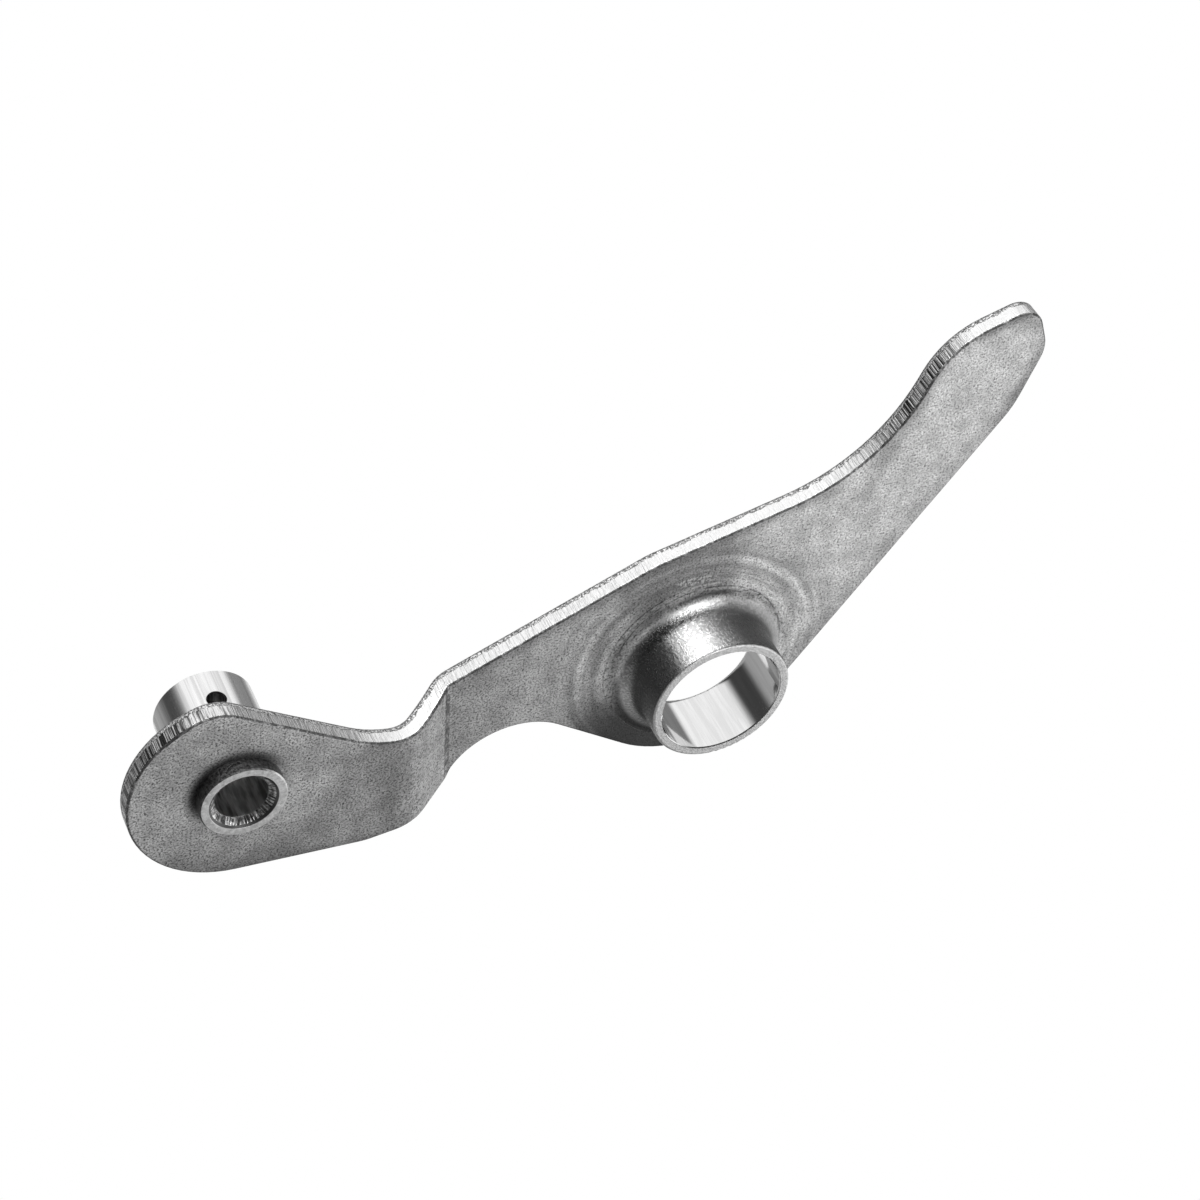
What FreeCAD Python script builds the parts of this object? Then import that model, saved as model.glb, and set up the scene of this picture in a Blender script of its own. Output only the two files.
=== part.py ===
import FreeCAD, Part
import math
import os

# Chain tensioner arm: a joggled sheet-steel lever with a drawn pivot collar, and a hollow roller pin.
# Frame: origin where the pivot axis meets the plane of the lever's front face, X from the roller pin
# to the pivot and on to the push pad, Y along the pivot axis with the collar on the -Y side, Z up in
# the lever's plane. Lengths are in millimetres and angles in degrees.

# Sheet and joggle
sheet_thickness = 2.3
joggle_rise = 5.0
web_angle = 40.0
crease_radius = 1.0
shoulder_radius = 6.5
crease_from_pivot = 31.5
crease_skew = 4.0
edge_roll = 0.3

# Roller end of the lever
roller_reach = 58.0
lobe_radius = 12.75
crown_slope = 24.0
crown_from_pin = 2.75
crown_radius = 5.0

# Pivot collar
bore_radius = 7.5
collar_wall = 1.2
collar_height = 6.7
flare_radius = 2.6
draw_ring_radius = 11.4
draw_ring_height = 0.12
draw_ring_shift_x = -0.9
draw_ring_shift_z = 1.2
rim_round = 0.3
rim_chamfer = 0.15
bell_radius = 1.2

# Roller pin
journal_radius = 5.85
journal_length = 11.4
ring_radius = 5.05
ring_height = 1.8
pin_bore_radius = 3.1
pin_bore_depth = 12.0
mouth_radius = 4.05
mouth_angle = 45.0
drill_point_angle = 59.0
pin_end_chamfer = 0.4
ring_chamfer = 0.15
oil_hole_radius = 1.15
oil_hole_from_shoulder = 6.6
seat_gap = 0.01

# Edges shorter than this are left out of an outline
shortest_edge = 0.001

# Corners of the blank's outline as x, z and the radius that rounds them, anticlockwise
neck_corners = [(-42.5, -lobe_radius, 6.5), (-31.0, -10.5, 1.0), (-26.4, 0.0, 9.3)]
boss_corners = [(3.7, -18.8, 14.2)]
pad_corners = [(35.4, 31.5, 12.5), (37.8, 39.8, 4.6), (35.3, 46.0, 2.8), (25.0, 42.0, 10.5)]
back_corners = [(19.0, 25.7, 23.0), (-8.0, 16.8, 9.0), (-39.0, 0.9, 12.5)]


def point(x, y, z):
    return FreeCAD.Vector(x, y, z)


def rounded_outline(corners):
    """Closed wire in the plane y = 0: straight edges joined by tangent arcs at the corners."""
    places = [point(x, 0, z) for x, z, radius in corners]
    count = len(corners)
    sides = [(places[i - 1] - places[i]).Length for i in range(count)]
    before = [(places[i - 1] - places[i]).normalize() for i in range(count)]
    after = [(places[(i + 1) % count] - places[i]).normalize() for i in range(count)]
    half_angles = [before[i].getAngle(after[i]) / 2 for i in range(count)]
    reaches = [corners[i][2] / math.tan(half_angles[i]) for i in range(count)]

    # Where two rounds would meet on a short side, both give way in the same measure
    room = [min(1, sides[i] / (reaches[i - 1] + reaches[i])) for i in range(count)]
    reaches = [reaches[i] * min(room[i], room[(i + 1) % count]) for i in range(count)]

    arcs = []
    for i in range(count):
        radius = reaches[i] * math.tan(half_angles[i])
        middle = (before[i] + after[i]).normalize()
        crest = places[i] + middle * (radius / math.sin(half_angles[i]) - radius)
        arcs.append((places[i] + before[i] * reaches[i], crest, places[i] + after[i] * reaches[i]))
    edges = []
    for i, (start, crest, end) in enumerate(arcs):
        last_end = arcs[i - 1][2]
        if last_end.distanceToPoint(start) > shortest_edge:
            edges.append(Part.LineSegment(last_end, start).toShape())
        edges.append(Part.Arc(start, crest, end).toShape())
    return Part.Wire(edges)


def lobe_corners():
    """The round end about the roller pin and its flat crown, which is a tangent of the same circle."""
    far_left = -roller_reach - lobe_radius
    slope = math.radians(crown_slope)
    touch_x = -roller_reach - lobe_radius * math.sin(slope)
    touch_z = lobe_radius * math.cos(slope)
    crown_x = -roller_reach - crown_from_pin
    crown_z = touch_z + (crown_x - touch_x) * math.tan(slope)
    upper_left_z = lobe_radius * math.tan((math.pi / 2 - slope) / 2)
    crown = (crown_x, crown_z, crown_radius)
    upper_left = (far_left, upper_left_z, lobe_radius)
    lower_left = (far_left, -lobe_radius, lobe_radius)
    return [crown, upper_left, lower_left]


def blank_prism():
    """The blanked outline of the lever, run through far beyond both of its faces."""
    corners = lobe_corners() + neck_corners + boss_corners + pad_corners + back_corners
    depth = joggle_rise + sheet_thickness + collar_height
    face = Part.Face(rounded_outline(corners))
    face.translate(point(0, -depth, 0))
    return face.extrude(point(0, 2 * depth, 0))


def joggled_sheet():
    """Endless sheet with the two bends, as a section swept along the bend line."""
    angle = math.radians(web_angle)
    half = sheet_thickness / 2
    inner = crease_radius + half
    outer = shoulder_radius - half
    bend_rise = (inner + outer) * (1 - math.cos(angle))
    web_length = (joggle_rise - bend_rise) / math.sin(angle)
    span = 2 * (roller_reach + lobe_radius)

    # Stations along the middle of the sheet: run towards the roller end, rise towards the front, slope
    first = -crease_radius * math.tan(angle / 2)
    web_start = first + inner * math.sin(angle)
    web_start_rise = inner * (1 - math.cos(angle))
    web_end = web_start + web_length * math.cos(angle)
    web_end_rise = web_start_rise + web_length * math.sin(angle)
    last = web_end + outer * math.sin(angle)
    halfway = angle / 2
    stations = {
        "pad": (-span, 0, 0),
        "crease_in": (first, 0, 0),
        "crease_mid": (first + inner * math.sin(halfway), inner * (1 - math.cos(halfway)), halfway),
        "crease_out": (web_start, web_start_rise, angle),
        "shoulder_in": (web_end, web_end_rise, angle),
        "shoulder_mid": (last - outer * math.sin(halfway),
                         joggle_rise - outer * (1 - math.cos(halfway)), halfway),
        "shoulder_out": (last, joggle_rise, 0),
        "lobe": (span, joggle_rise, 0),
    }

    def side(name, offset):
        run, rise, slope = stations[name]
        return point(-run + offset * math.sin(slope), half - rise - offset * math.cos(slope), 0)

    def run_of_edges(offset):
        p = {name: side(name, offset) for name in stations}
        return [
            Part.LineSegment(p["pad"], p["crease_in"]).toShape(),
            Part.Arc(p["crease_in"], p["crease_mid"], p["crease_out"]).toShape(),
            Part.LineSegment(p["crease_out"], p["shoulder_in"]).toShape(),
            Part.Arc(p["shoulder_in"], p["shoulder_mid"], p["shoulder_out"]).toShape(),
            Part.LineSegment(p["shoulder_out"], p["lobe"]).toShape(),
        ]

    front = run_of_edges(half)
    back = run_of_edges(-half)
    pad_end = Part.LineSegment(side("pad", half), side("pad", -half)).toShape()
    lobe_end = Part.LineSegment(side("lobe", half), side("lobe", -half)).toShape()
    section = Part.Face(Part.Wire(Part.__sortEdges__(front + back + [pad_end, lobe_end])))
    section.translate(point(0, 0, -span))
    sheet = section.extrude(point(0, 0, 2 * span))
    sheet.rotate(point(0, 0, 0), point(0, 1, 0), -crease_skew)
    sheet.translate(point(-crease_from_pivot, 0, 0))
    return sheet


def turned(profile, x, z):
    """Solid of revolution about a line along Y through the given x and z, from (radius, y) edges."""
    face = Part.Face(Part.Wire(profile))
    solid = face.revolve(point(0, 0, 0), point(0, 1, 0), 360)
    solid.translate(point(x, 0, z))
    return solid


def polyline(points):
    """Straight edges through (radius, y) points."""
    places = [point(radius, y, 0) for radius, y in points]
    return [Part.LineSegment(a, b).toShape() for a, b in zip(places, places[1:])]


def quarter_arc(start, end, centre):
    """Quarter of a circle in the (radius, y) plane."""
    size = math.hypot(start[0] - centre[0], start[1] - centre[1])
    toward = (start[0] + end[0] - 2 * centre[0], start[1] + end[1] - 2 * centre[1])
    length = math.hypot(toward[0], toward[1])
    middle = (centre[0] + toward[0] / length * size, centre[1] + toward[1] / length * size)
    places = [point(radius, y, 0) for radius, y in (start, middle, end)]
    return Part.Arc(*places).toShape()


def collar_form():
    """Outside of the drawn collar: rim, wall and the flare that runs out onto the draw ring."""
    wall_radius = bore_radius + collar_wall
    rim_y = -collar_height
    foot_y = -draw_ring_height
    foot_radius = wall_radius + flare_radius
    inside_y = sheet_thickness / 2
    edges = polyline([(0, inside_y), (0, rim_y), (wall_radius - rim_round, rim_y)])
    edges.append(quarter_arc((wall_radius - rim_round, rim_y), (wall_radius, rim_y + rim_round),
                             (wall_radius - rim_round, rim_y + rim_round)))
    edges += polyline([(wall_radius, rim_y + rim_round), (wall_radius, foot_y - flare_radius)])
    edges.append(quarter_arc((wall_radius, foot_y - flare_radius), (foot_radius, foot_y),
                             (foot_radius, foot_y - flare_radius)))
    edges += polyline([(foot_radius, foot_y), (foot_radius + draw_ring_height, 0),
                       (foot_radius + draw_ring_height, inside_y), (0, inside_y)])
    return turned(edges, 0, 0)


def draw_ring():
    """Shallow step that the drawing die left around the collar, a little off its axis."""
    inside_y = sheet_thickness / 2
    edges = polyline([(0, inside_y), (0, -draw_ring_height), (draw_ring_radius, -draw_ring_height),
                      (draw_ring_radius + draw_ring_height, 0),
                      (draw_ring_radius + draw_ring_height, inside_y), (0, inside_y)])
    return turned(edges, draw_ring_shift_x, draw_ring_shift_z)


def collar_bore():
    """Cutter for the polished bore, with the bell mouth at the back and the broken edge at the rim."""
    rim_y = -collar_height
    mouth = bore_radius + bell_radius
    bell_y = sheet_thickness - bell_radius
    beyond_y = sheet_thickness + bell_radius
    edges = polyline([(0, beyond_y), (0, rim_y - rim_chamfer),
                      (bore_radius + 2 * rim_chamfer, rim_y - rim_chamfer),
                      (bore_radius, rim_y + rim_chamfer), (bore_radius, bell_y)])
    edges.append(quarter_arc((bore_radius, bell_y), (mouth, sheet_thickness), (mouth, bell_y)))
    edges += polyline([(mouth, sheet_thickness), (mouth, beyond_y), (0, beyond_y)])
    return turned(edges, 0, 0)


def facing(face):
    """How far a face looks along Y, from -1 at the front to 1 at the back, taken at its middle."""
    u_first, u_last, v_first, v_last = face.ParameterRange
    return face.normalAt((u_first + u_last) / 2, (v_first + v_last) / 2).y


def rolled_edges(lever):
    """Edges between the blank's sheared sides, which stand along Y, and the front of the sheet."""
    front_limit = -math.cos(math.radians(web_angle)) / 2
    side_limit = -front_limit / 10
    found = []
    for edge in lever.Edges:
        frontmost, other = sorted(facing(face) for face in lever.ancestorsOfType(edge, Part.Face))
        if frontmost < front_limit and abs(other) < side_limit:
            found.append(edge)
    return found


def tensioner_arm():
    lever = joggled_sheet().common(blank_prism())
    lever = lever.makeFillet(edge_roll, rolled_edges(lever))
    lever = lever.fuse([draw_ring(), collar_form()]).removeSplitter()
    lever = lever.cut(collar_bore())
    pin_hole = Part.makeCylinder(ring_radius + seat_gap, 2 * (joggle_rise + sheet_thickness),
                                 point(-roller_reach, sheet_thickness, 0), point(0, -1, 0))
    return lever.cut(pin_hole)


def roller_pin():
    shoulder_y = sheet_thickness - joggle_rise
    back_y = shoulder_y + journal_length
    ring_y = -joggle_rise - ring_height
    mouth_depth = (mouth_radius - pin_bore_radius) / math.tan(math.radians(mouth_angle))
    bore_end_y = ring_y + pin_bore_depth
    point_depth = pin_bore_radius / math.tan(math.radians(drill_point_angle))
    edges = polyline([(0, back_y), (journal_radius - pin_end_chamfer, back_y),
                      (journal_radius, back_y - pin_end_chamfer), (journal_radius, shoulder_y),
                      (ring_radius, shoulder_y), (ring_radius, ring_y + ring_chamfer),
                      (ring_radius - ring_chamfer, ring_y), (mouth_radius, ring_y),
                      (pin_bore_radius, ring_y + mouth_depth), (pin_bore_radius, bore_end_y),
                      (0, bore_end_y + point_depth), (0, back_y)])
    pin = turned(edges, -roller_reach, 0)
    hole_start = point(-roller_reach, shoulder_y + oil_hole_from_shoulder, 0)
    oil_hole = Part.makeCylinder(oil_hole_radius, 2 * journal_radius, hole_start, point(0, 0, 1))
    return pin.cut(oil_hole)


def save(name, shape):
    shape.exportStep(os.path.join("parts", name + ".step"))


os.makedirs("parts", exist_ok=True)
save("tensioner_arm", tensioner_arm())
save("roller_pin", roller_pin())
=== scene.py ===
import math
from types import SimpleNamespace

import bpy
from mathutils import Matrix, Vector


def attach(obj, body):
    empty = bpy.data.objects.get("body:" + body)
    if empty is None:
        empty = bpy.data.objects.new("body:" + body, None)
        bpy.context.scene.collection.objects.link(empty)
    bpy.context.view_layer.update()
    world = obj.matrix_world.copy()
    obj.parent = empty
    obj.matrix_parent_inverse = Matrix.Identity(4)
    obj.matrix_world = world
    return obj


# Chain tensioner arm: materials, small turned detail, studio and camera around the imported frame.
# Objects are placed in metres in the row's frame; the materials and the sizes below are in millimetres.

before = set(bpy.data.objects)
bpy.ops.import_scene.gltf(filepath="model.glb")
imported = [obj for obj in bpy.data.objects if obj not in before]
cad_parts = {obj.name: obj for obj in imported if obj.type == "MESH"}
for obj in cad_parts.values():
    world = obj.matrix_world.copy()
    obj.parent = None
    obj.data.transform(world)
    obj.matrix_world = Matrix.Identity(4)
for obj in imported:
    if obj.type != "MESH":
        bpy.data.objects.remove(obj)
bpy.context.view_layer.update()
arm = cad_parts["tensioner_arm"]
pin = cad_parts["roller_pin"]
scene = bpy.context.scene

MM = 0.001

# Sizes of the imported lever
SHEET = 2.3
JOGGLE = 5.0
BEND_START = 31.5
BEND_SKEW = math.radians(4.0)
WEB_SLOPE = math.tan(math.radians(40.0))
WEB_COSINE = 0.77
CREASE_RUN = 0.42
BORE_RADIUS = 7.5
COLLAR_RADIUS = 8.7
RIM_Y = -6.7
FLARE_END = 11.3
AWAY_FROM_COLLAR = 12.7
AWAY_FROM_PIN = 5.4
WALL_TAPER = 0.28

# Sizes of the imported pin
PIN_X = -58.0
PIN_BORE_RADIUS = 3.1
PIN_RING_BACK = -5.0
OIL_HOLE_Y = 3.9
OIL_HOLE_RADIUS = 1.15
MOUTH_RADIUS = 4.05

# Marks that the photograph shows on the lever
FACE_TONE = 0.56
RINGS_X, RINGS_Z = -1.3, 1.1
RIDGE_RADIUS = 14.8
GROOVE_RADIUS = 15.8
SHELF_RADIUS = 18.6
PRESSED_X, PRESSED_Z = -0.55, 1.4
PRESSED_RADIUS = 10.75
RUB_X, RUB_Z = -2.2, 13.5
CUT_X, CUT_Z = 12.8, 17.5
CORNER_X, CORNER_Z = 36.0, 45.5

# Borders of the face, clockwise: from, to, first and last x, inset, share of light that is left
BORDERS = (
    ((-33.0, -12.75), (-60.0, -12.75), -60.0, -33.0, 0.0, 0.70),
    ((-39.0, 0.9), (-8.0, 16.8), -30.0, -8.0, 0.0, 0.68),
    ((-8.0, 16.8), (19.0, 25.7), -8.0, 14.0, 0.0, 0.68),
    ((19.0, 25.7), (25.0, 42.0), 18.0, 26.0, 0.0, 0.70),
    ((25.0, 42.0), (35.3, 46.0), 28.0, 38.0, 0.0, 0.42),
    ((37.8, 39.8), (35.4, 31.5), 30.0, 44.0, 0.4, 0.62),
    ((35.4, 31.5), (3.7, -18.8), 6.0, 40.0, 1.16, 0.80),
)


# Camera, at the photograph's place and angle
def place_camera():
    data = bpy.data.cameras.new("camera")
    data.sensor_width = 36.0
    data.lens = 87.0
    data.clip_start = 0.02
    data.clip_end = 20.0
    camera = bpy.data.objects.new("camera", data)
    scene.collection.objects.link(camera)
    right = Vector((0.9149, -0.3859, 0.1187)).normalized()
    forward = Vector((0.3623, 0.6548, -0.6633)).normalized()
    up = right.cross(forward).normalized()
    right = forward.cross(up).normalized()
    place = Vector((-0.1333, -0.2149, 0.23116))
    camera.matrix_world = Matrix((*zip(right, up, -forward, place), (0, 0, 0, 1)))
    scene.camera = camera


class Graph:
    """Short ways to write shader nodes."""

    def __init__(self, tree):
        self.nodes = tree.nodes
        self.links = tree.links

    def feed(self, socket, value):
        if isinstance(value, bpy.types.NodeSocket):
            self.links.new(value, socket)
        else:
            socket.default_value = value

    def math(self, operation, *values):
        node = self.nodes.new("ShaderNodeMath")
        node.operation = operation
        for socket, value in zip(node.inputs, values):
            self.feed(socket, value)
        return node.outputs[0]

    def fold(self, operation, first, others):
        for other in others:
            first = self.math(operation, first, other)
        return first

    def times(self, first, *others):
        return self.fold("MULTIPLY", first, others)

    def plus(self, first, *others):
        return self.fold("ADD", first, others)

    def minus(self, first, *others):
        return self.fold("SUBTRACT", first, others)

    def larger(self, first, *others):
        return self.fold("MAXIMUM", first, others)

    def over(self, value, divisor):
        return self.math("DIVIDE", value, divisor)

    def size(self, value):
        return self.math("ABSOLUTE", value)

    def length(self, a, b):
        return self.math("SQRT", self.plus(self.times(a, a), self.times(b, b)))

    def distance(self, x, z, centre_x, centre_z):
        return self.length(self.minus(x, centre_x), self.minus(z, centre_z))

    def slant(self, x, z, share_x, share_z):
        return self.plus(self.times(x, share_x), self.times(z, share_z))

    def degrees(self, z, x):
        return self.times(self.math("ARCTAN2", z, x), 180 / math.pi)

    def ramp(self, value, low, high, to_low=0.0, to_high=1.0, smooth=True):
        node = self.nodes.new("ShaderNodeMapRange")
        node.interpolation_type = "SMOOTHSTEP" if smooth else "LINEAR"
        node.clamp = True
        self.feed(node.inputs["Value"], value)
        self.feed(node.inputs["From Min"], low)
        self.feed(node.inputs["From Max"], high)
        self.feed(node.inputs["To Min"], to_low)
        self.feed(node.inputs["To Max"], to_high)
        return node.outputs["Result"]

    def between(self, value, low, high, soft):
        """1 between low and high, falling softly to 0 outside them."""
        above_low = self.ramp(value, low - soft, low + soft)
        below_high = self.ramp(value, high + soft, high - soft)
        return self.times(above_low, below_high)

    def band(self, value, centre, half_width):
        """1 at the centre, falling softly to 0 at half_width on both sides."""
        return self.ramp(self.size(self.minus(value, centre)), half_width, 0.0)

    def mix(self, share, a, b):
        node = self.nodes.new("ShaderNodeMix")
        node.data_type = "FLOAT"
        self.feed(node.inputs[0], share)
        self.feed(node.inputs[2], a)
        self.feed(node.inputs[3], b)
        return node.outputs[0]

    def shade(self, tone, mask, share):
        """The tone where the mask is 0, and this share of it where the mask is 1."""
        return self.times(tone, self.mix(mask, 1.0, share))

    def noise(self, vector, scale, detail, rough):
        node = self.nodes.new("ShaderNodeTexNoise")
        self.links.new(vector, node.inputs["Vector"])
        node.inputs["Scale"].default_value = scale
        node.inputs["Detail"].default_value = detail
        node.inputs["Roughness"].default_value = rough
        return node.outputs["Fac"]

    def cloud(self, vector, scale, detail, rough, low, high, smooth=True):
        """Noise stretched so that low becomes 0 and high becomes 1."""
        return self.ramp(self.noise(vector, scale, detail, rough), low, high, smooth=smooth)

    def vector(self, operation, a, b=None):
        node = self.nodes.new("ShaderNodeVectorMath")
        node.operation = operation
        self.links.new(a, node.inputs[0])
        if b is not None:
            self.links.new(b, node.inputs[1])
        return node.outputs[0]

    def millimetres(self):
        scaled = self.vector("SCALE", self.nodes.new("ShaderNodeTexCoord").outputs["Object"])
        scaled.node.inputs["Scale"].default_value = 1000.0
        return scaled

    def parts(self, vector):
        node = self.nodes.new("ShaderNodeSeparateXYZ")
        self.links.new(vector, node.inputs[0])
        return node.outputs[0], node.outputs[1], node.outputs[2]

    def together(self, x, y, z):
        node = self.nodes.new("ShaderNodeCombineXYZ")
        for socket, value in zip(node.inputs, (x, y, z)):
            self.feed(socket, value)
        return node.outputs[0]

    def squeezed(self, x, y, z, share):
        """The place with y drawn together, so that a noise there runs in lines through the sheet."""
        return self.together(x, self.times(y, share), z)

    def bump(self, height):
        node = self.nodes.new("ShaderNodeBump")
        node.inputs["Strength"].default_value = 1.0
        node.inputs["Distance"].default_value = MM
        self.links.new(height, node.inputs["Height"])
        return node.outputs[0]

    def grey(self, value):
        node = self.nodes.new("ShaderNodeCombineColor")
        for socket in node.inputs[:3]:
            self.feed(socket, value)
        return node.outputs[0]


def new_material(name):
    material = bpy.data.materials.new(name)
    material.use_nodes = True
    tree = material.node_tree
    shader = tree.nodes["Principled BSDF"]
    shader.inputs["Metallic"].default_value = 1.0
    return material, Graph(tree), shader


def dress(node, material):
    node.data.materials.clear()
    node.data.materials.append(material)


def lever_places(g):
    """Where each point of the lever lies, with masks for the lever's regions."""
    lever = SimpleNamespace(place=g.millimetres())
    x, y, z = g.parts(lever.place)
    nx, ny, nz = g.parts(g.nodes.new("ShaderNodeTexCoord").outputs["Normal"])
    lever.x, lever.y, lever.z = x, y, z
    lever.radius = g.distance(x, z, 0.0, 0.0)
    lever.from_pin = g.distance(x, z, PIN_X, 0.0)
    lever.front = g.ramp(ny, -0.6, -0.8)
    lever.before_back = g.ramp(y, 1.0, 0.4)

    # Way along the joggle, and place in the sheet's thickness from -1 at the front to 1 at the back
    along = g.times(g.plus(x, BEND_START), -math.cos(BEND_SKEW))
    lever.run = g.minus(along, g.times(z, math.sin(BEND_SKEW)))
    slope = g.times(g.minus(lever.run, CREASE_RUN), WEB_SLOPE)
    rise = g.math("SMOOTH_MIN", slope, JOGGLE, 2.0)
    rise = g.math("SMOOTH_MAX", rise, 0.0, 0.8)
    lever.in_web = g.times(g.ramp(lever.run, 0.0, 1.2), g.ramp(lever.run, 7.6, 4.6))
    depth = g.plus(g.minus(y, SHEET / 2), rise)
    lever.depth = g.times(depth, g.mix(lever.in_web, 2 / SHEET, 2 / SHEET * WEB_COSINE))

    # Sheared edge, with its rolled front and its burr at the back, both darkened in edge_tone as painted
    # shade
    off_collar = g.ramp(lever.radius, AWAY_FROM_COLLAR, AWAY_FROM_COLLAR + 0.3)
    away = g.times(off_collar, g.ramp(lever.from_pin, AWAY_FROM_PIN, AWAY_FROM_PIN + 0.2))
    lever.edge = g.times(g.ramp(g.size(ny), 0.42, 0.25), away)
    lean = g.length(g.times(nx, g.minus(1.0, lever.in_web)), nz)
    rolled = g.times(g.ramp(lean, 0.12, 0.4), g.ramp(lever.depth, -0.70, -0.84), away)
    uneven = g.ramp(g.noise(lever.place, 1.3, 3.0, 0.7), 0.34, 0.56, 0.35, 1.0)
    lever.rolled = g.times(rolled, uneven)
    lever.burr = g.times(g.ramp(lever.depth, 0.78, 0.90), lever.edge)

    # Collar
    on_flare = g.ramp(lever.radius, FLARE_END - 0.3, FLARE_END - 1.4)
    on_wall = g.ramp(lever.radius, COLLAR_RADIUS + 0.9, COLLAR_RADIUS + 0.3)
    on_rim = g.ramp(lever.radius, BORE_RADIUS + 0.05, BORE_RADIUS + 0.16)
    lever.flare = g.times(on_flare, g.ramp(y, -0.1, -0.5))
    lever.wall = g.times(on_wall, g.ramp(y, -0.5, -1.8))
    lever.bore = g.ramp(lever.radius, BORE_RADIUS + 0.12, BORE_RADIUS + 0.08)
    lever.rim = g.times(g.ramp(y, RIM_Y + 0.20, RIM_Y + 0.08), on_rim)
    return lever


def lever_marks(g, lever):
    """Grain and marks that the lever's tone, gloss and relief share."""
    place, x, y, z = lever.place, lever.x, lever.y, lever.z
    # Towards the low end the specks are coarser and the face takes painted shade
    lever.dull = g.ramp(x, -6.0, -32.0)
    lever.speckle = g.cloud(place, 4.0, 2.0, 0.65, 0.34, 0.56, smooth=False)
    lever.pits = g.cloud(place, 3.4, 1.0, 0.4, 0.64, 0.72)
    lever.scuffs = g.cloud(g.squeezed(x, y, z, 0.7), 3.2, 3.0, 0.7, 0.38, 0.62)

    # Edge: burnished towards the front and torn towards the back, deeply scored in two places
    lever.streaks = g.cloud(g.squeezed(x, y, z, 0.07), 3.4, 3.0, 0.7, 0.34, 0.60)
    lever.comb = g.cloud(g.squeezed(x, y, z, 0.02), 3.9, 1.0, 0.5, 0.40, 0.58)
    hollow = g.times(g.ramp(z, 29.5, 33.0), g.ramp(x, 27.5, 24.0))
    lever.scored = g.larger(g.ramp(x, -59.0, -66.0), hollow)
    tear = g.minus(lever.depth, g.mix(g.noise(place, 0.9, 3.0, 0.6), 0.02, 1.0))
    lever.torn = g.ramp(tear, -0.05, 0.08)
    lever.tear_line = g.ramp(g.size(tear), 0.07, 0.02)
    lever.torn_grain = g.cloud(place, 4.2, 3.0, 0.7, 0.36, 0.60)

    # Rings left by drawing the collar, and a patch rubbed bright above it
    lever.ring_at = g.distance(x, z, RINGS_X, RINGS_Z)
    lever.ridge = g.band(lever.ring_at, RIDGE_RADIUS, 0.9)
    lever.groove = g.band(lever.ring_at, GROOVE_RADIUS, 0.7)
    rub_at = g.length(g.times(g.minus(x, RUB_X), 0.42), g.times(g.minus(z, RUB_Z), 1.7))
    rub = g.times(g.ramp(rub_at, 1.3, 0.8), g.cloud(place, 2.4, 3.0, 0.7, 0.47, 0.54))
    lever.rub = g.times(rub, lever.front, 0.6)

    # Upper right of the collar
    lever.right = g.ramp(g.over(g.slant(x, z, 0.68, 0.73), lever.radius), 0.60, 0.92)


def face_grain_tone(g, lever):
    """Fine tumbled specks over slow blotches, stronger towards the low end."""
    coarse = g.cloud(lever.place, 1.5, 3.0, 0.6, 0.38, 0.62)
    blotch = g.cloud(lever.place, 0.34, 4.0, 0.65, 0.36, 0.64)
    dark_speck = g.mix(lever.dull, g.mix(coarse, 0.58, 0.24), g.mix(coarse, 0.40, 0.10))
    light_speck = g.mix(lever.dull, g.mix(coarse, 1.14, 1.34), g.mix(coarse, 1.22, 1.44))
    tone = g.times(g.mix(lever.speckle, dark_speck, light_speck), FACE_TONE)
    tone = g.times(tone, g.mix(blotch, 0.85, 1.14))
    return g.shade(tone, lever.pits, 0.4)


def ring_tone(g, lever, tone):
    """Concentric marks left on the face by drawing the collar, with painted light on the ridge and painted
    shade in the groove and inside the shelf.
    """
    turning = g.over(lever.x, lever.radius), g.over(lever.z, lever.radius)
    arcs = g.cloud(g.together(g.times(lever.ring_at, 0.75), *turning), 1.0, 3.0, 0.6, 0.36, 0.64)
    near = g.times(g.ramp(lever.ring_at, 21.0, 12.5), lever.before_back)
    shelf = g.times(g.ramp(lever.ring_at, SHELF_RADIUS + 0.3, SHELF_RADIUS - 0.3), lever.before_back)
    # Painted light on the ridge, painted shade in the groove and inside the shelf
    rings = g.minus(g.times(lever.ridge, 0.10), g.times(lever.groove, 0.08), g.times(shelf, 0.07))
    rings = g.times(rings, lever.front, lever.before_back)
    return g.times(tone, g.mix(near, 1.0, g.mix(arcs, 0.66, 1.16)), g.plus(rings, 1.0))


def collar_foot_tone(g, lever, tone):
    """Painted shadow of the collar down to its left, painted reflection of its dark wall above it, the rubbed
    patch above it and a short scratch beyond.
    """
    x, z, radius, front = lever.x, lever.z, lever.radius, lever.front

    # Cosines to two directions from the pivot: down to the left, and up
    below = g.over(g.slant(x, z, -0.50, -0.87), radius)
    beyond = g.over(g.slant(x, z, -0.28, 0.96), radius)
    # Painted shadow of the collar down to its left, and painted reflection of its dark wall above it
    collar_shadow = g.times(g.ramp(below, 0.34, 0.96), g.ramp(radius, 21.0, 14.0), front)
    collar_reflection = g.times(g.ramp(beyond, 0.80, 0.97), g.ramp(radius, 24.0, 17.0), front)
    tone = g.shade(g.shade(tone, collar_shadow, 0.06), collar_reflection, 0.55)
    tone = g.mix(lever.rub, tone, 0.8)

    cut = g.minus(g.minus(z, CUT_Z), g.times(g.minus(x, CUT_X), 0.55))
    cut = g.plus(cut, g.times(g.noise(lever.place, 1.1, 2.0, 0.5), 0.5))
    cut = g.times(g.band(cut, 0.2, 0.12), g.band(x, CUT_X + 0.2, 2.0), front)
    return g.shade(tone, cut, 0.35)


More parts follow.
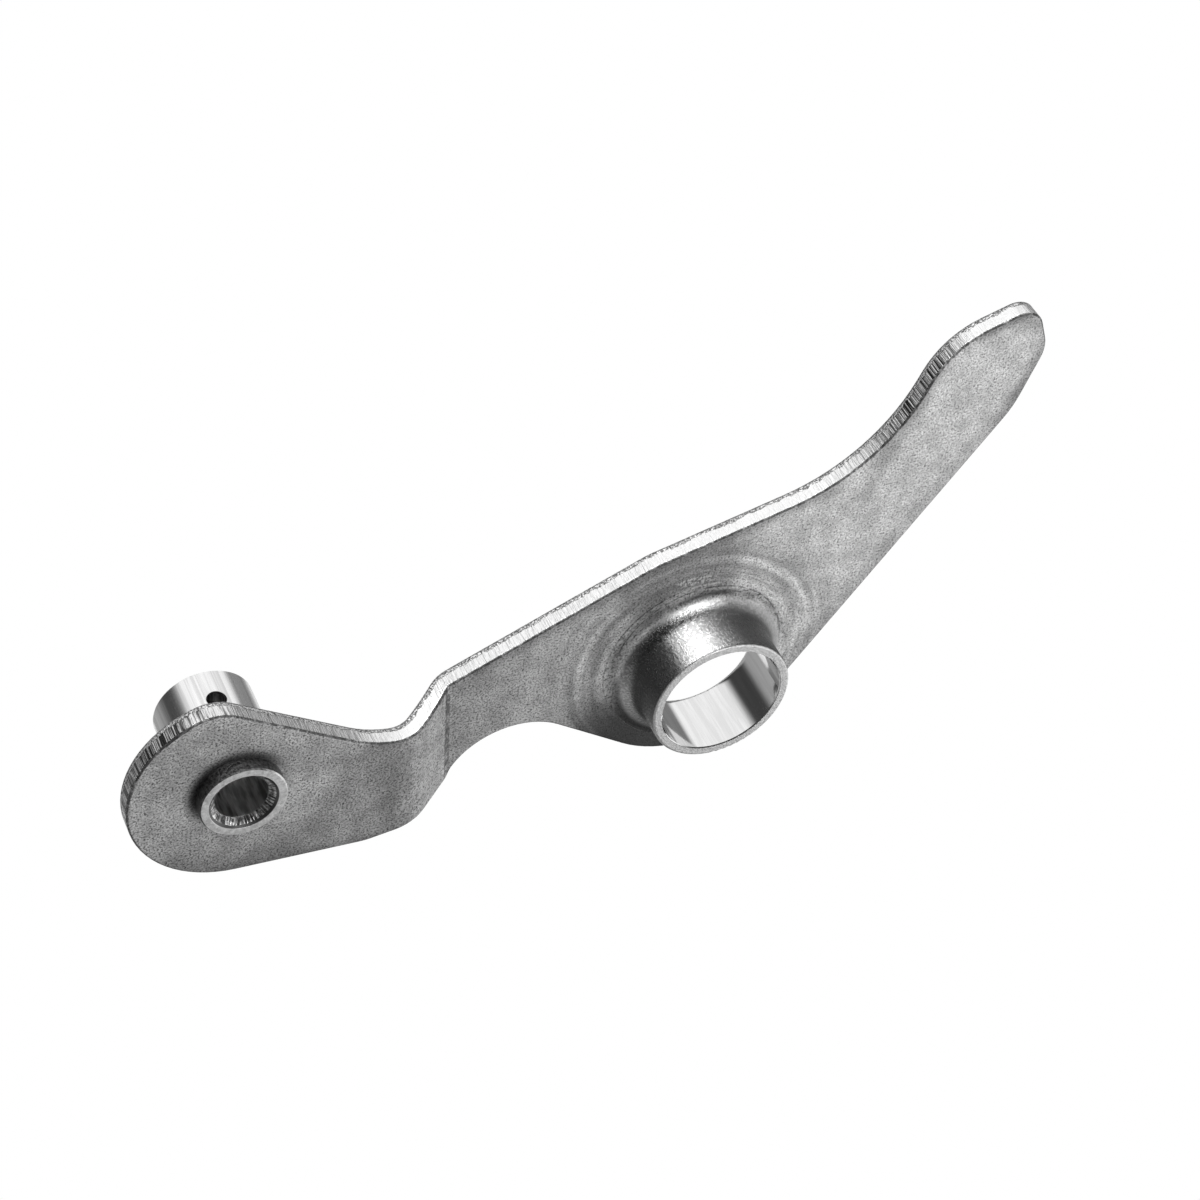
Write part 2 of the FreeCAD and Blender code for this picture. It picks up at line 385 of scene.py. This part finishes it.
def low_end_tone(g, lever, tone):
    """Painted shade: darker towards the lobe end, round the pin's upper side, over the shoulder, along the
    lobe's rim and at its low side.
    """
    x, z, front = lever.x, lever.z, lever.front
    # Painted shade round the pin's upper side, over the shoulder, along the lobe's rim and at its low side
    uphill = g.plus(g.times(z, 0.87), g.times(g.minus(PIN_X, x), 0.5))
    pin_shade = g.times(g.ramp(lever.from_pin, 6.7, 5.2), g.ramp(uphill, -3.0, 3.0), front)
    lobe_rim = g.times(g.ramp(lever.from_pin, 9.0, 12.6), g.ramp(uphill, 2.0, -7.0), front)
    lobe_rim = g.times(lobe_rim, g.ramp(x, -8.0, -30.0))
    lobe_low = g.times(g.ramp(z, -3.0, -12.5), g.ramp(x, -46.0, -52.0), front)
    shoulder = g.times(g.band(lever.run, 8.5, 4.0), front)
    # Painted shade, darker towards the lobe end
    tone = g.times(tone, g.mix(lever.dull, 0.95, 0.69))
    for mask, share in ((pin_shade, 0.14), (shoulder, 0.72), (lobe_rim, 0.78), (lobe_low, 0.72)):
        tone = g.shade(tone, mask, share)
    return tone


def border_tone(g, lever, tone):
    """Painted shade along the face's borders, which roll away softly and catch less light, and darker near
    the tip's corner.
    """
    for start, end, first_x, last_x, inset, share in BORDERS:
        inward_x, inward_z = Vector((end[1] - start[1], start[0] - end[0])).normalized()
        border_at = start[0] * inward_x + start[1] * inward_z
        inside = g.minus(g.slant(lever.x, lever.z, inward_x, inward_z), border_at)
        near = g.ramp(inside, 1.7 + inset, 0.2 + inset)
        reach = g.between(lever.x, first_x, last_x, 2.0)
        tone = g.shade(tone, g.times(near, reach, lever.front), share)
    return g.shade(tone, g.ramp(g.distance(lever.x, lever.z, CORNER_X, CORNER_Z), 5.0, 1.5), 0.72)


def crease_tone(g, lever, tone):
    """The inner corner of the first bend: a painted light band with a thin broken line of painted shade in
    it.
    """
    at_front = g.ramp(lever.depth, -0.6, -0.8)
    # Painted light along the crease, and painted shade in its thin line
    light = g.times(g.band(lever.run, 0.45, 0.75), at_front)
    broken = g.cloud(lever.place, 0.8, 3.0, 0.6, 0.35, 0.6)
    dark = g.times(g.band(lever.run, CREASE_RUN, 0.16), broken, at_front)
    return g.shade(g.shade(tone, light, 1.5), dark, 0.25)


def edge_tone(g, lever, tone):
    """Streaked and torn metal on the sheared edge, lighter across the web, with painted shade towards the
    lobe end, along its rolled front and along its burr.
    """
    # Painted shade on the edge towards the lobe end; the edge is lighter across the web
    end_shade = g.ramp(lever.x, -44.0, -56.0)
    cut = g.mix(lever.streaks, g.mix(end_shade, 0.66, 0.20), g.mix(lever.in_web, 0.79, 0.95))
    cut = g.shade(cut, g.times(lever.scored, g.minus(1.0, lever.comb)), 0.07)
    cut = g.mix(lever.torn, cut, g.mix(lever.torn_grain, 0.10, 0.72))
    cut = g.shade(cut, lever.tear_line, 0.45)
    tone = g.mix(lever.edge, tone, cut)
    # Painted shade along the rolled front and along the burr
    tone = g.mix(g.times(lever.rolled, 0.85), tone, 0.03)
    return g.mix(g.times(lever.burr, 0.7), tone, 0.12)


def collar_tone(g, lever, tone):
    """Thin pressed line, flare with a painted glint, wall with a burnished patch lightened as painted
    highlight, drawn bore and rim; painted shade beside the collar's foot and above the glint.
    """
    x, y, z, radius, front, scuffs = lever.x, lever.y, lever.z, lever.radius, lever.front, lever.scuffs
    # Painted shade in a band right of the collar's foot
    foot_shade_right = g.times(g.band(radius, 10.8, 1.1), front, lever.right)
    tone = g.shade(tone, foot_shade_right, 0.62)
    pressed_at = g.distance(x, z, PRESSED_X, PRESSED_Z)
    pressed = g.times(g.band(pressed_at, PRESSED_RADIUS, 0.17), g.ramp(z, 0.0, 4.0), front)
    pressed = g.times(pressed, g.cloud(lever.place, 0.7, 3.0, 0.6, 0.36, 0.54))
    tone = g.shade(tone, pressed, 0.30)

    # Turn round the collar in degrees, 0 at the right and 90 at the top, blurred by the scuffs
    turn = g.plus(g.math("WRAP", g.degrees(z, x), 270.0, -90.0), g.times(scuffs, 6.0))
    # Painted glint on the flare, with painted light on its right side and at its lower left
    painted_glint = g.times(g.ramp(turn, 74.0, 100.0), g.ramp(turn, 130.0, 116.0))
    right_side = g.times(g.ramp(turn, 92.0, 66.0), 0.34)
    lower_left = g.times(g.ramp(turn, 158.0, 200.0), 0.8)
    painted_glint = g.larger(painted_glint, right_side, lower_left)
    tone = g.mix(lever.flare, tone, g.times(g.mix(painted_glint, 0.17, 0.60), g.mix(scuffs, 0.82, 1.08)))
    # Painted shade in a thin arc above the glint
    above_glint = g.times(g.ramp(turn, 74.0, 84.0), g.ramp(turn, 120.0, 108.0))
    above_glint = g.times(above_glint, g.band(radius, 11.15, 0.5), lever.before_back)
    tone = g.shade(tone, above_glint, 0.40)

    # Burnished patch on the wall, lightened further as painted highlight
    patch = g.times(g.ramp(turn, 74.0, 114.0), g.ramp(turn, 139.0, 131.0), g.mix(scuffs, 0.60, 1.0))
    tone = g.mix(lever.wall, tone, g.mix(patch, 0.13, 0.46))
    drawn = g.cloud(g.squeezed(x, y, z, 0.06), 1.7, 3.0, 0.65, 0.35, 0.65)
    tone = g.mix(lever.bore, tone, g.mix(drawn, 0.68, 0.78))
    return g.mix(lever.rim, tone, g.mix(lever.speckle, 0.40, 0.58))


def lever_gloss(g, lever):
    gloss = g.mix(lever.speckle, 0.44, 0.54)
    gloss = g.mix(g.ramp(lever.radius, 15.0, 12.0), gloss, 0.44)
    gloss = g.mix(lever.rub, gloss, 0.25)
    gloss = g.mix(lever.edge, gloss, g.mix(lever.torn, g.mix(lever.streaks, 0.40, 0.24), 0.5))
    gloss = g.mix(lever.flare, gloss, g.mix(lever.right, g.mix(lever.scuffs, 0.32, 0.23), 0.42))
    gloss = g.mix(lever.wall, gloss, g.mix(lever.scuffs, 0.36, 0.26))
    gloss = g.mix(lever.bore, gloss, 0.10)
    return g.mix(lever.rim, gloss, 0.42)


def lever_relief(g, lever):
    """Speckle and soft rings on the face, striations and tears on the edge, scuffs on the flare."""
    face = g.plus(g.times(lever.speckle, 0.004), g.times(g.minus(lever.ridge, lever.groove), 0.03))
    face = g.minus(face, g.times(lever.pits, 0.02))
    striations = g.plus(g.times(lever.streaks, 0.025), g.times(lever.comb, lever.scored, 0.09))
    edge = g.mix(lever.torn, striations, g.times(lever.torn_grain, 0.06))
    height = g.mix(lever.edge, face, edge)
    height = g.mix(lever.flare, height, g.times(lever.scuffs, 0.018))
    height = g.mix(lever.bore, height, 0.0)

    # The collar's outer wall is shaded as if it narrowed towards its rim,
    # because the sheet hides the light that shows there in the photograph
    inside_flare = g.ramp(lever.radius, COLLAR_RADIUS + 0.6, COLLAR_RADIUS + 0.2)
    outside_bore = g.ramp(lever.radius, COLLAR_RADIUS - 0.3, COLLAR_RADIUS - 0.1)
    on_wall = g.times(inside_flare, outside_bore, g.ramp(lever.y, -1.5, -2.8))
    on_wall = g.times(on_wall, g.ramp(lever.y, RIM_Y + 0.15, RIM_Y + 0.35))
    normal = g.nodes.new("ShaderNodeNewGeometry").outputs["Normal"]
    leaning = g.vector("ADD", normal, g.together(0.0, g.times(on_wall, -WALL_TAPER), 0.0))
    relief = g.bump(height)
    g.links.new(g.vector("NORMALIZE", leaning), relief.node.inputs["Normal"])
    return relief


def stamped_steel():
    """Tumbled sheet with sheared edges, forming rings and the polished collar."""
    material, g, shader = new_material("stamped_steel")
    lever = lever_places(g)
    lever_marks(g, lever)
    tone = face_grain_tone(g, lever)
    for step in (ring_tone, collar_foot_tone, low_end_tone, border_tone, crease_tone, edge_tone, collar_tone):
        tone = step(g, lever, tone)
    bare = g.larger(lever.flare, lever.bore, lever.edge, lever.rub)
    g.links.new(g.grey(tone), shader.inputs["Base Color"])
    g.links.new(lever_gloss(g, lever), shader.inputs["Roughness"])
    g.links.new(g.mix(bare, 0.62, 1.0), shader.inputs["Metallic"])
    g.links.new(lever_relief(g, lever), shader.inputs["Normal"])
    return material


def turned_steel():
    """Ground pin with a polished journal, a flat turned ring and stained oil ways."""
    material, g, shader = new_material("turned_steel")
    place = g.millimetres()
    x, y, z = g.parts(place)
    nx, ny, nz = g.parts(g.nodes.new("ShaderNodeTexCoord").outputs["Normal"])
    radius = g.distance(x, z, PIN_X, 0.0)
    lines = g.noise(g.together(g.times(radius, 0.4), g.times(y, 7.0), 0.0), 1.0, 2.0, 0.5)
    grain = g.cloud(place, 3.0, 3.0, 0.7, 0.3, 0.7)
    drawn = g.cloud(g.squeezed(x, y, z, 0.02), 1.4, 3.0, 0.6, 0.38, 0.62)
    stain = g.cloud(g.squeezed(x, y, z, 0.15), 1.3, 3.0, 0.6, 0.35, 0.65)

    # Ring in front of the sheet with painted shade on its steep side and upper chamfer, then the bore and the
    # oil hole
    front = g.ramp(y, PIN_RING_BACK + 0.2, PIN_RING_BACK - 0.1)
    steep = g.ramp(g.size(ny), 0.6, 0.4)
    upper = g.times(g.ramp(g.size(ny), 0.9, 0.7), g.ramp(g.minus(nz, nx), 0.0, 0.4))
    skirt = g.times(front, g.larger(steep, upper), g.ramp(radius, 4.6, 4.8))
    open_end = g.ramp(y, 6.4, 6.2)
    inside = g.times(g.ramp(radius, MOUTH_RADIUS - 0.01, MOUTH_RADIUS - 0.07), open_end)
    deep = g.times(g.ramp(radius, PIN_BORE_RADIUS + 0.12, PIN_BORE_RADIUS + 0.02), open_end)
    hole_at = g.distance(x, y, PIN_X, OIL_HOLE_Y)
    oil = g.times(g.ramp(hole_at, OIL_HOLE_RADIUS + 0.05, OIL_HOLE_RADIUS + 0.01), g.ramp(z, 2.0, 2.4))

    ring_tones = g.mix(grain, g.mix(drawn, 0.44, 0.60), g.mix(drawn, 0.60, 0.78))
    tone = g.mix(front, g.mix(drawn, 0.60, 0.82), ring_tones)
    # Painted shade on the ring's steep side and upper chamfer
    tone = g.mix(skirt, tone, g.mix(grain, 0.04, 0.20))
    tone = g.mix(inside, tone, 0.12)
    # Painted highlight on the lip of the mouth
    tone = g.mix(g.band(radius, MOUTH_RADIUS + 0.02, 0.07), tone, 0.7)
    tone = g.mix(deep, tone, g.mix(stain, 0.30, 0.80))
    tone = g.mix(oil, tone, 0.25)
    gloss = g.mix(front, g.mix(lines, 0.21, 0.29), g.mix(grain, 0.36, 0.44))
    gloss = g.mix(g.larger(deep, oil), gloss, 0.4)
    height = g.mix(front, g.times(lines, 0.0015), g.times(grain, 0.004))
    height = g.mix(skirt, height, g.times(grain, 0.04))
    g.links.new(g.grey(tone), shader.inputs["Base Color"])
    g.links.new(gloss, shader.inputs["Roughness"])
    g.links.new(g.bump(height), shader.inputs["Normal"])
    return material


def serrated_steel():
    """Bright ticks with worn metal between them, all pointing at the pin's axis."""
    material, g, shader = new_material("serrated_steel")
    place = g.millimetres()
    x, y, z = g.parts(place)
    radius = g.distance(x, z, PIN_X, 0.0)
    rays_at = g.together(g.over(g.minus(x, PIN_X), radius), 0.0, g.over(z, radius))
    ticks = g.cloud(rays_at, 13.0, 2.0, 0.6, 0.42, 0.55)
    worn = g.cloud(place, 2.2, 2.0, 0.6, 0.40, 0.60)
    tone = g.mix(ticks, g.mix(worn, 0.06, 0.20), g.mix(worn, 0.30, 0.85))
    g.links.new(g.grey(tone), shader.inputs["Base Color"])
    shader.inputs["Roughness"].default_value = 0.3
    return material


# Bright serrations pressed into the conical mouth of the pin
def mouth_serrations():
    outer, inner = 3.78, 3.13
    front = -6.53
    clear = 0.02
    tooth = 0.07
    teeth = 58
    steps = 6
    rows = 3
    total = teeth * steps
    across = math.sqrt(0.5)
    verts, faces = [], []
    for row in range(rows):
        share = row / (rows - 1)
        radius = outer + (inner - outer) * share
        depth = front + (outer - inner) * share
        swell = math.sin(math.pi * (0.15 + 0.7 * share))
        for i in range(total):
            turn = 2 * math.pi * i / total
            phase = abs((i % steps) / steps * 2 - 1)
            lift = (clear + tooth * phase * swell) * across
            r = radius - lift
            x, y, z = PIN_X + r * math.cos(turn), depth - lift + clear, r * math.sin(turn)
            verts.append((x * MM, y * MM, z * MM))
    for row in range(rows - 1):
        for i in range(total):
            a = row * total + i
            b = row * total + (i + 1) % total
            faces.append((a, b, b + total, a + total))
    mesh = bpy.data.meshes.new("mouth_serrations")
    mesh.from_pydata(verts, [], faces)
    mesh.update()
    piece = bpy.data.objects.new("mouth_serrations", mesh)
    scene.collection.objects.link(piece)
    mesh.materials.append(serrated_steel())
    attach(piece, "root")


# Studio
def area_light(name, place, width, height, power):
    """A rectangular lamp that faces the origin."""
    data = bpy.data.lights.new(name, "AREA")
    data.shape = "RECTANGLE"
    data.size = width
    data.size_y = height
    data.energy = power
    lamp = bpy.data.objects.new(name, data)
    scene.collection.objects.link(lamp)
    lamp.location = place
    lamp.rotation_euler = (-Vector(place)).to_track_quat("-Z", "Y").to_euler()


# White disc that fills the picture behind the part and hides no light from it
def pale_floor():
    centre_x, centre_y, level = 0.157, 0.309, -0.30
    radius = 0.28
    sides = 96
    turns = [2 * math.pi * i / sides for i in range(sides)]
    ring = [(centre_x + radius * math.cos(a), centre_y + radius * math.sin(a), level) for a in turns]
    mesh = bpy.data.meshes.new("floor")
    mesh.from_pydata(ring, [], [tuple(range(sides))])
    floor = bpy.data.objects.new("floor", mesh)
    scene.collection.objects.link(floor)
    material = bpy.data.materials.new("floor")
    material.use_nodes = True
    g = Graph(material.node_tree)
    shader = g.nodes["Principled BSDF"]
    shader.inputs["Base Color"].default_value = (0.85, 0.85, 0.85, 1)
    shader.inputs["Roughness"].default_value = 0.9
    glow = g.nodes.new("ShaderNodeEmission")
    glow.inputs["Color"].default_value = (1, 1, 1, 1)
    glow.inputs["Strength"].default_value = 1.0
    rays = g.nodes.new("ShaderNodeLightPath").outputs
    seen = g.larger(rays["Is Camera Ray"], rays["Is Transmission Ray"], rays["Is Glossy Ray"])
    blend = g.nodes.new("ShaderNodeMixShader")
    g.links.new(seen, blend.inputs[0])
    g.links.new(shader.outputs[0], blend.inputs[1])
    g.links.new(glow.outputs[0], blend.inputs[2])
    g.links.new(blend.outputs[0], g.nodes["Material Output"].inputs["Surface"])
    mesh.materials.append(material)


# White room seen by the camera; for the light, soft panels above, behind and in front
def studio_world():
    world = bpy.data.worlds.new("studio")
    world.use_nodes = True
    scene.world = world
    g = Graph(world.node_tree)
    back = g.nodes["Background"]
    vx, vy, vz = g.parts(g.nodes.new("ShaderNodeTexCoord").outputs["Generated"])
    turn = g.degrees(vz, vx)

    def panel(start, start_soft, end, end_soft, level):
        """A sector of the room between two angles about the pivot axis, in degrees."""
        centre = (start + end) / 2
        half = (end - start) / 2
        off = g.math("WRAP", g.minus(turn, centre), 180.0, -180.0)
        rising = g.ramp(off, -half - start_soft, -half + start_soft)
        falling = g.ramp(off, half + end_soft, half - end_soft)
        return g.times(rising, falling, level)

    def spot(direction, near, far, level):
        """A round patch of the room, fading between two angles from its middle, in degrees."""
        dx, dy, dz = Vector(direction).normalized()
        facing = g.plus(g.times(vx, dx), g.times(vy, dy), g.times(vz, dz))
        return g.times(g.ramp(facing, math.cos(math.radians(far)), math.cos(math.radians(near))), level)

    above = g.times(panel(25.0, 6.0, 145.0, 12.0, 1.05), g.ramp(vy, -0.35, -0.05))
    behind = g.plus(
        panel(-32.0, 6.0, 22.0, 6.0, 0.18),
        panel(-164.0, 12.0, -78.0, 12.0, 0.36),
        panel(-65.0, 10.0, -28.0, 8.0, 0.52),
    )
    behind = g.times(behind, g.ramp(vy, -0.10, 0.12))
    front_right = spot((0.77, -0.50, -0.40), 13.0, 46.0, 1.45)
    front_low = spot((-0.42, -0.50, -0.75), 18.0, 42.0, 0.40)
    level = g.plus(behind, above, front_right, front_low, 0.06)
    level = g.mix(g.nodes.new("ShaderNodeLightPath").outputs["Is Camera Ray"], level, 1.0)
    g.links.new(g.grey(level), back.inputs["Color"])
    back.inputs["Strength"].default_value = 1.0


place_camera()
dress(arm, stamped_steel())
dress(pin, turned_steel())
mouth_serrations()
pale_floor()
studio_world()
area_light("lamp_front", (0.14, -0.56, 0.13), 0.24, 0.42, 1.8)
area_light("lamp_top", (-0.14, 0.06, 0.50), 0.36, 0.24, 1.6)

scene.view_settings.view_transform = "Standard"
